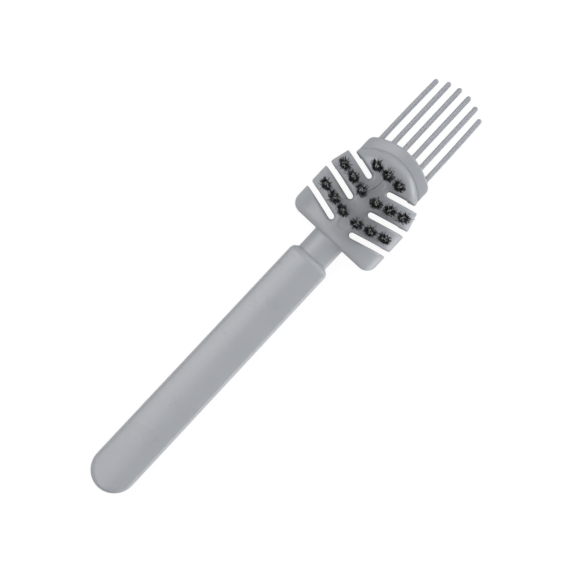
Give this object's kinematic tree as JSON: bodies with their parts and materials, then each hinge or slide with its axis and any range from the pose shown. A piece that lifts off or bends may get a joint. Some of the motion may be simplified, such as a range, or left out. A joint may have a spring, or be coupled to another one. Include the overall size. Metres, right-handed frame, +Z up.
{
  "type": "brush cleaning rake",
  "caption": "Hand tool that cleans hairbrushes: a flat-oval grip, an arched slotted head with bristle tufts, and a rake of straight round tines beyond it.",
  "frame": {"origin": "on the table under the middle of the tool's length, with the tool lying on its back", "axes": "+Y along the tool from the butt to the tines, +Z up out of the bristled face, +X across"},
  "size_m": [0.0326, 0.1646, 0.0194],
  "materials": {
    "grip_plastic": "fine matte, cool light grey",
    "head_plastic": "satin, cool light grey",
    "black_nylon": "satin black bristle",
    "anchor_steel": "drawn flat wire"
  },
  "bodies": {
    "root": {"handle": "grip_plastic", "rake_head": "head_plastic", "bristle_tuft_01": "black_nylon", "bristle_tuft_02": "black_nylon", "bristle_tuft_03": "black_nylon", "bristle_tuft_04": "black_nylon", "bristle_tuft_05": "black_nylon", "bristle_tuft_06": "black_nylon", "bristle_tuft_07": "black_nylon", "bristle_tuft_08": "black_nylon", "bristle_tuft_09": "black_nylon", "bristle_tuft_10": "black_nylon", "bristle_tuft_11": "black_nylon", "bristle_tuft_12": "black_nylon", "bristle_tuft_13": "black_nylon", "bristle_tuft_14": "black_nylon", "bristle_tuft_15": "black_nylon", "tuft_anchor_01": "anchor_steel", "tuft_anchor_02": "anchor_steel", "tuft_anchor_03": "anchor_steel", "tuft_anchor_04": "anchor_steel", "tuft_anchor_05": "anchor_steel", "tuft_anchor_06": "anchor_steel", "tuft_anchor_07": "anchor_steel", "tuft_anchor_08": "anchor_steel", "tuft_anchor_09": "anchor_steel", "tuft_anchor_10": "anchor_steel", "tuft_anchor_11": "anchor_steel", "tuft_anchor_12": "anchor_steel", "tuft_anchor_13": "anchor_steel", "tuft_anchor_14": "anchor_steel", "tuft_anchor_15": "anchor_steel"}
  },
  "joints": []
}
